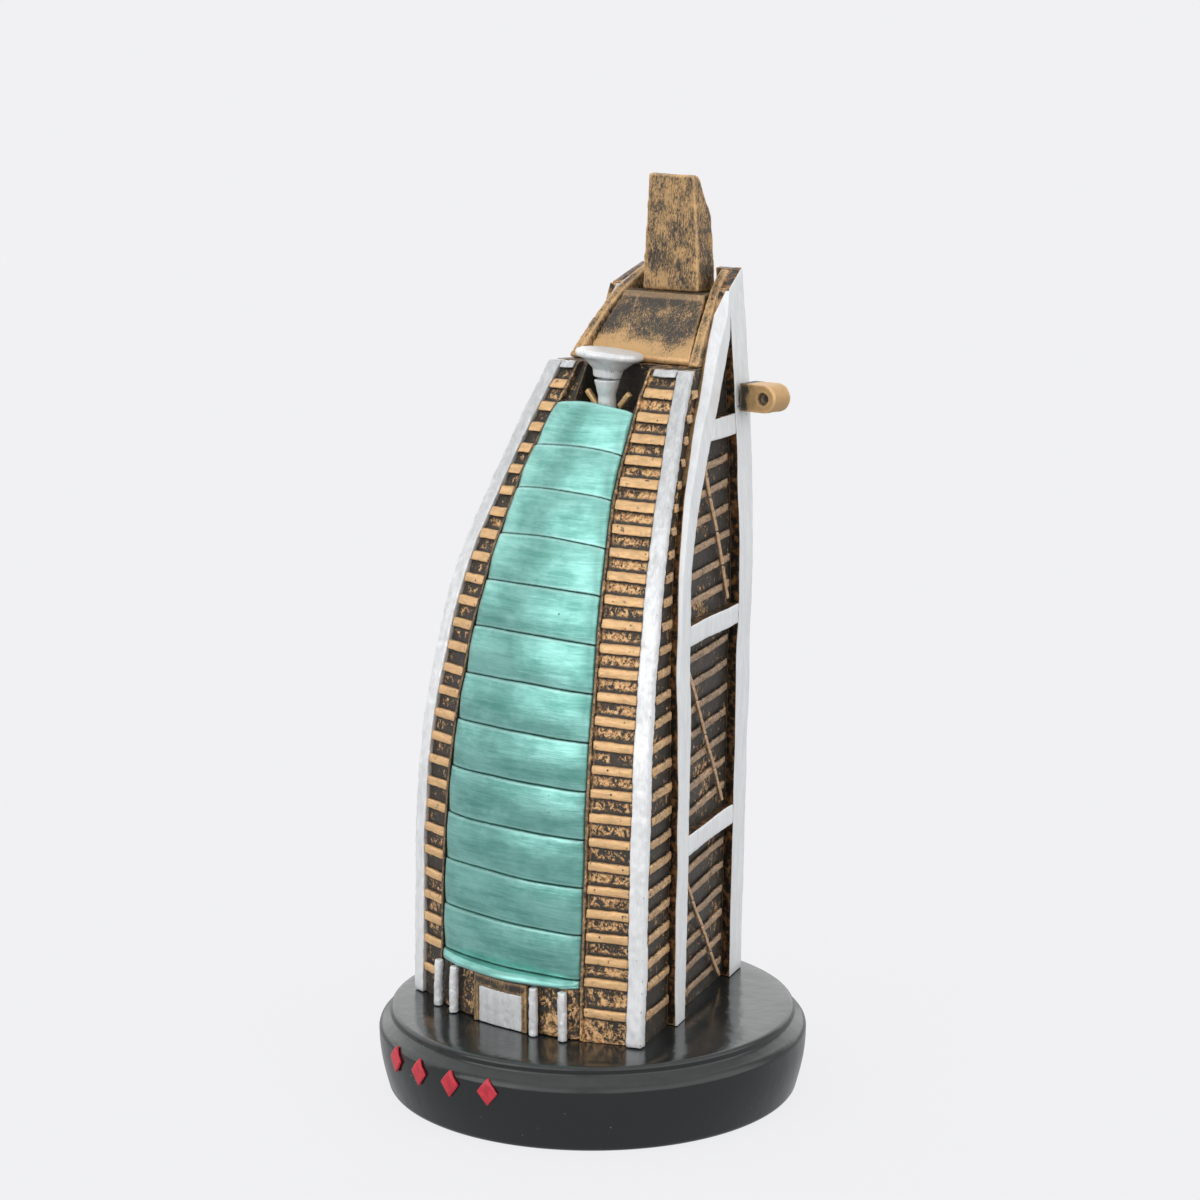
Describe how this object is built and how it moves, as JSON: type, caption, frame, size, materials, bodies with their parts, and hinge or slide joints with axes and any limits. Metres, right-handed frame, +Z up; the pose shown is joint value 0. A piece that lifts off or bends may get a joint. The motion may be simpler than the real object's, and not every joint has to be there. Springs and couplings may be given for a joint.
{
  "type": "souvenir tower figurine",
  "caption": "Painted cast-resin souvenir of a sail-shaped tower with a banded glass front, ribbed corners, side frames, roof mast and helipad, standing on a round black plinth.",
  "frame": {"origin": "centre of the plinth's underside, on the surface that it stands on", "axes": "+Z up along the tower, -Y towards the glazed front, +X towards the right-hand side frame"},
  "size_m": [0.07, 0.0706, 0.1469],
  "materials": {
    "black_lacquer": "satin-gloss black lacquer on cast resin",
    "base_felt": "short black felt",
    "red_enamel": "gloss red enamel on raised resin",
    "dark_bronze": "near-black bronze wash with dry-brushed gold on cast resin",
    "antique_bronze": "brushed antique bronze paint, darker in the recesses",
    "rib_gold": "gold-bronze paint on the raised ribs",
    "silver_paint": "hand-brushed silver paint",
    "white_paint": "satin pearl-white paint with bronze-worn edges",
    "teal_metallic": "brushed metallic teal paint"
  },
  "bodies": {
    "root": {"plinth": "black_lacquer", "plinth_felt": "base_felt", "plinth_lozenges": "red_enamel", "tower_core": "dark_bronze", "roof_slope": "antique_bronze", "side_plate_left": "antique_bronze", "side_plate_right": "antique_bronze", "facade_panel_left": "dark_bronze", "facade_panel_right": "dark_bronze", "facade_ribs_left": "rib_gold", "facade_ribs_right": "rib_gold", "corner_strip_left": "silver_paint", "corner_strip_right": "silver_paint", "top_strip_left": "silver_paint", "top_strip_right": "silver_paint", "atrium_band_01": "teal_metallic", "atrium_band_02": "teal_metallic", "atrium_band_03": "teal_metallic", "atrium_band_04": "teal_metallic", "atrium_band_05": "teal_metallic", "atrium_band_06": "teal_metallic", "atrium_band_07": "teal_metallic", "atrium_band_08": "teal_metallic", "atrium_band_09": "teal_metallic", "atrium_band_10": "teal_metallic", "atrium_band_11": "teal_metallic", "atrium_band_12": "teal_metallic", "atrium_sill": "teal_metallic", "entrance_wall": "dark_bronze", "door_frame": "antique_bronze", "door": "silver_paint", "entrance_pillars": "silver_paint", "side_ribs_left": "rib_gold", "side_ribs_right": "rib_gold", "front_leg_left": "white_paint", "front_leg_right": "white_paint", "back_leg_left": "white_paint", "back_leg_right": "white_paint", "cross_beams_left": "white_paint", "cross_beams_right": "white_paint", "bay_bars_left": "rib_gold", "bay_bars_right": "rib_gold", "bay_braces_left": "rib_gold", "bay_braces_right": "rib_gold", "back_panel": "dark_bronze", "back_ribs": "rib_gold", "mast_block": "antique_bronze", "cross_bar": "dark_bronze", "lug_left": "antique_bronze", "lug_right": "antique_bronze", "helipad_dish": "silver_paint", "helipad_stem": "silver_paint", "helipad_struts": "antique_bronze"}
  },
  "joints": []
}
